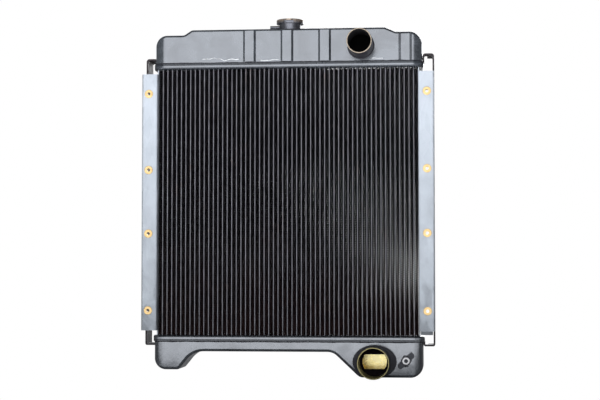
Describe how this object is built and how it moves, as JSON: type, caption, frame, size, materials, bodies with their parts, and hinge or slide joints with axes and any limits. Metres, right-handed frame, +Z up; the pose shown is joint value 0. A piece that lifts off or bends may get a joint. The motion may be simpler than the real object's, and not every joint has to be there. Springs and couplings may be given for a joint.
{
  "type": "car radiator",
  "caption": "Upright copper and brass engine radiator with pressed end tanks, finned tube core, side flanges, hose necks, pressure cap and drain cock.",
  "frame": {"origin": "centre of the eight side-flange nuts, on the front plane of the side flanges", "axes": "+Z up, +X towards the outlet side, -Y the way the hose necks point"},
  "size_m": [0.597, 0.164, 0.7363],
  "materials": {
    "tank_paint": "glossy dark charcoal paint over pressed brass",
    "neck_paint": "glossy dark paint outside, bare brass inside",
    "tube_brass": "thin grey-black spray over brass tube",
    "fin_copper": "thin black spray over copper",
    "header_paint": "glossy dark paint over brass, solder showing in the seam",
    "side_plate_zinc": "bare galvanised sheet",
    "nut_zinc": "yellow-passivated zinc",
    "strap_paint": "satin dark brown-black paint",
    "cap_metal": "dull brass-plated steel, dark at the skirt",
    "valve_brass": "turned brass",
    "spring_steel": "bright spring steel",
    "seal_rubber": "matt black rubber",
    "cock_metal": "dull plated brass with paint on it"
  },
  "bodies": {
    "radiator": {"top_tank": "tank_paint", "bottom_tank": "tank_paint", "tank_rib_left": "tank_paint", "tank_rib_centre": "tank_paint", "tank_rib_right": "tank_paint", "top_header": "header_paint", "bottom_header": "header_paint", "core_fins": "fin_copper", "left_side_plate": "side_plate_zinc", "right_side_plate": "side_plate_zinc", "left_clinch_nuts": "nut_zinc", "right_clinch_nuts": "nut_zinc", "left_tie_strap": "strap_paint", "right_tie_strap": "strap_paint", "inlet_neck": "neck_paint", "outlet_neck": "neck_paint", "outlet_collar": "neck_paint", "filler_neck": "neck_paint", "overflow_stub": "neck_paint", "drain_bung": "neck_paint", "drain_body": "cock_metal", "tube_row_1": "tube_brass", "tube_row_2": "tube_brass", "tube_row_3": "tube_brass", "tube_row_4": "tube_brass"},
    "cap_core": {"cap_rivet": "valve_brass", "cap_diaphragm": "spring_steel", "spring_cup": "spring_steel", "pressure_spring": "spring_steel"},
    "cap_shell": {"cap_shell": "cap_metal"},
    "pressure_valve": {"pressure_valve_plate": "valve_brass", "pressure_valve_seal": "seal_rubber", "vacuum_spring": "spring_steel"},
    "vacuum_valve": {"vacuum_valve": "valve_brass"},
    "drain_seal": {"drain_seal": "seal_rubber"},
    "drain_stem": {"drain_stem": "cock_metal"}
  },
  "joints": [
    {"name": "cap_lift", "type": "slide", "parent": "radiator", "child": "cap_core", "axis": [0, 0, 1], "range_m": [0, 0.05]},
    {"name": "cap_turn", "type": "hinge", "parent": "cap_core", "child": "cap_shell", "pos_m": [0.002, 0.05, 0.377], "axis": [0, 0, 1], "range_deg": [-90, 0]},
    {"name": "pressure_valve_lift", "type": "slide", "parent": "cap_core", "child": "pressure_valve", "axis": [0, 0, 1], "range_m": [0, 0.003], "stiffness_N_per_m": 600, "springref_m": -0.004, "deforming": ["pressure_spring"]},
    {"name": "vacuum_valve_drop", "type": "slide", "parent": "pressure_valve", "child": "vacuum_valve", "axis": [0, 0, -1], "range_m": [0, 0.0015], "stiffness_N_per_m": 150, "springref_m": -0.002, "deforming": ["vacuum_spring"]},
    {"name": "drain_travel", "type": "slide", "parent": "radiator", "child": "drain_seal", "axis": [0, -1, 0], "range_m": [0, 0.0045]},
    {"name": "drain_turn", "type": "hinge", "parent": "drain_seal", "child": "drain_stem", "pos_m": [0.241, -0.018, -0.32], "axis": [0, -1, 0], "range_deg": [0, 1081]}
  ],
  "couplings": [
    {"joint": "drain_turn", "follows": "drain_travel", "rad_per_m": 4188.8}
  ]
}
